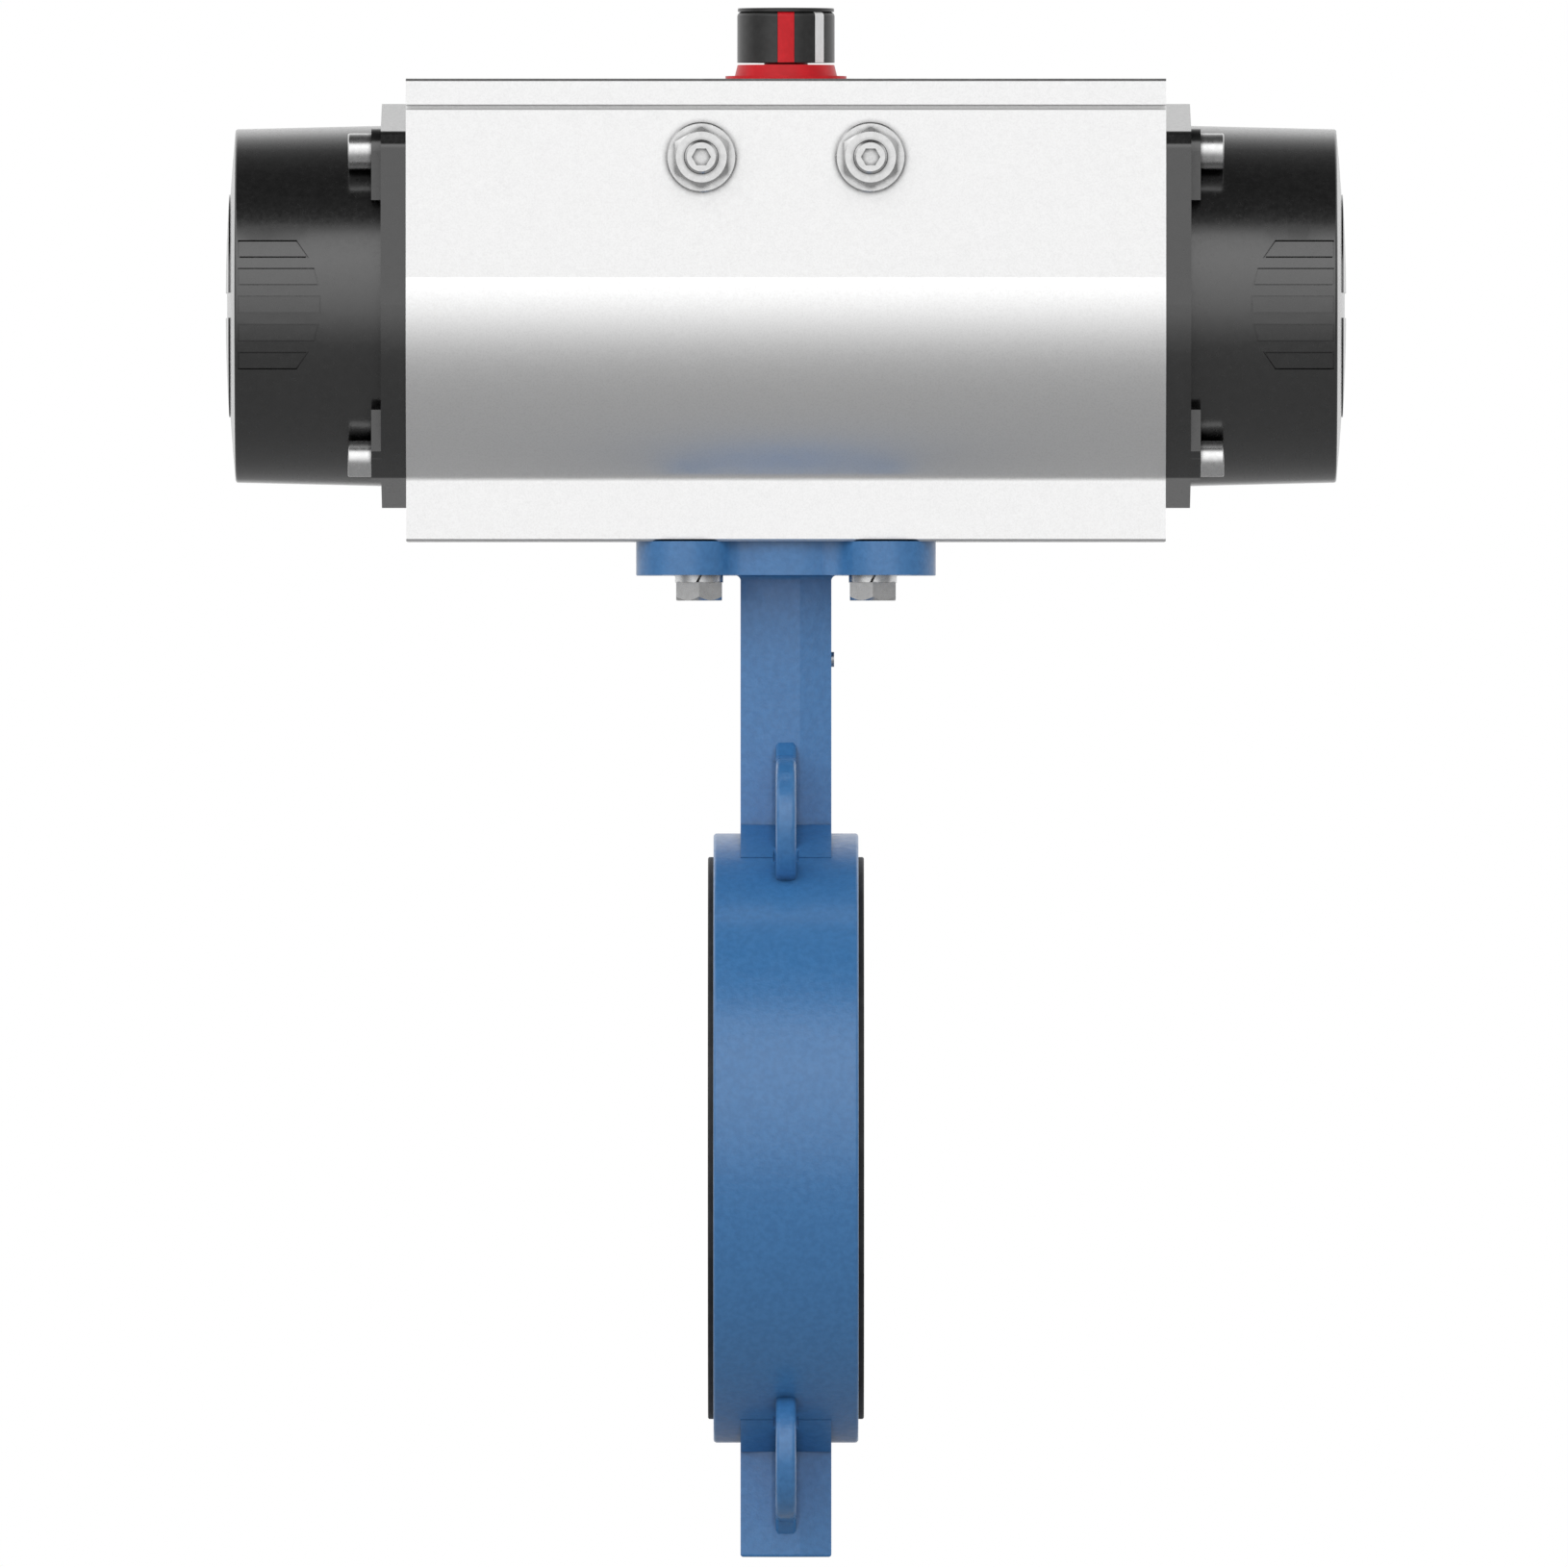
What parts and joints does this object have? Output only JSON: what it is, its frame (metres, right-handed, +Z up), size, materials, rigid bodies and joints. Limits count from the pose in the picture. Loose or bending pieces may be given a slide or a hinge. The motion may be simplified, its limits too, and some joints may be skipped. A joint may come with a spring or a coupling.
{
  "type": "pneumatic actuated butterfly valve",
  "caption": "Wafer butterfly valve with a spring-return rack-and-pinion air actuator and position indicator.",
  "frame": {"origin": "centre of the disc, where the pipe axis meets the stem axis", "axes": "+X along the pipe and the actuator, +Z up the stem, -Y to the front with the stop screws"},
  "size_m": [0.4026, 0.219, 0.5564],
  "materials": {
    "blue_cast_iron": "satin paint over cast iron",
    "seat_rubber": "matte",
    "disc_steel": "machined stainless casting",
    "stem_steel": "ground",
    "bronze_bush": "bronze-filled liner",
    "black_rubber": "matte",
    "zinc_steel": "zinc plated",
    "bearing_plastic": "acetal",
    "stainless_fasteners": "stainless",
    "anodised_aluminium": "bead blasted and anodised",
    "pinion_steel": "nickel plated",
    "piston_aluminium": "die cast",
    "spring_steel": "epoxy coated",
    "black_plastic": "satin",
    "black_coated_aluminium": "gloss powder coat",
    "red_plastic": "moulded",
    "white_plastic": "moulded"
  },
  "bodies": {
    "housing": {"valve_body": "blue_cast_iron", "seat_liner": "seat_rubber", "lower_neck_bush": "bronze_bush", "upper_neck_bush": "bronze_bush", "bottom_bush": "bronze_bush", "bottom_thrust_pad": "bronze_bush", "stem_seals": "black_rubber", "stem_retaining_pin": "zinc_steel", "centring_ring": "bearing_plastic", "flange_bolts": "stainless_fasteners", "flange_spring_washers": "stainless_fasteners", "actuator_body": "anodised_aluminium", "pinion_lower_bearing": "bearing_plastic", "pinion_upper_bearing": "bearing_plastic", "thrust_washer": "bearing_plastic", "left_springs": "spring_steel", "left_spring_retainer": "black_plastic", "left_end_cap": "black_coated_aluminium", "left_cap_seal": "black_rubber", "left_cap_screws": "stainless_fasteners", "right_springs": "spring_steel", "right_spring_retainer": "black_plastic", "right_end_cap": "black_coated_aluminium", "right_cap_seal": "black_rubber", "right_cap_screws": "stainless_fasteners", "stop_screws": "stainless_fasteners", "stop_nuts": "stainless_fasteners", "stop_washers": "stainless_fasteners"},
    "rotor": {"disc": "disc_steel", "upper_stem": "stem_steel", "lower_stem": "stem_steel", "disc_pins": "stem_steel", "stem_circlip": "stem_steel", "pinion": "pinion_steel", "stop_cam": "pinion_steel", "pinion_circlip": "pinion_steel", "pinion_seals": "black_rubber", "indicator_core": "red_plastic", "indicator_inserts": "white_plastic", "indicator_shell": "black_plastic", "indicator_lid": "black_plastic", "indicator_screw": "zinc_steel"},
    "left_piston": {"left_piston": "piston_aluminium", "left_piston_band": "bearing_plastic", "left_rack_pad": "bearing_plastic", "left_piston_seal": "black_rubber"},
    "right_piston": {"right_piston": "piston_aluminium", "right_piston_band": "bearing_plastic", "right_rack_pad": "bearing_plastic", "right_piston_seal": "black_rubber"}
  },
  "joints": [
    {"name": "valve_turn", "type": "hinge", "parent": "housing", "child": "rotor", "pos_m": [0, 0, 0], "axis": [0, 0, 1], "range_deg": [0, 90], "stiffness_Nm_per_rad": 20, "springref_deg": -68.75},
    {"name": "left_piston_slide", "type": "slide", "parent": "housing", "child": "left_piston", "axis": [-1, 0, 0], "range_m": [0, 0.0378], "deforming": ["left_springs"]},
    {"name": "right_piston_slide", "type": "slide", "parent": "housing", "child": "right_piston", "axis": [1, 0, 0], "range_m": [0, 0.0378], "deforming": ["right_springs"]}
  ],
  "couplings": [
    {"joint": "left_piston_slide", "follows": "valve_turn", "m_per_rad": 0.024},
    {"joint": "right_piston_slide", "follows": "valve_turn", "m_per_rad": 0.024}
  ]
}
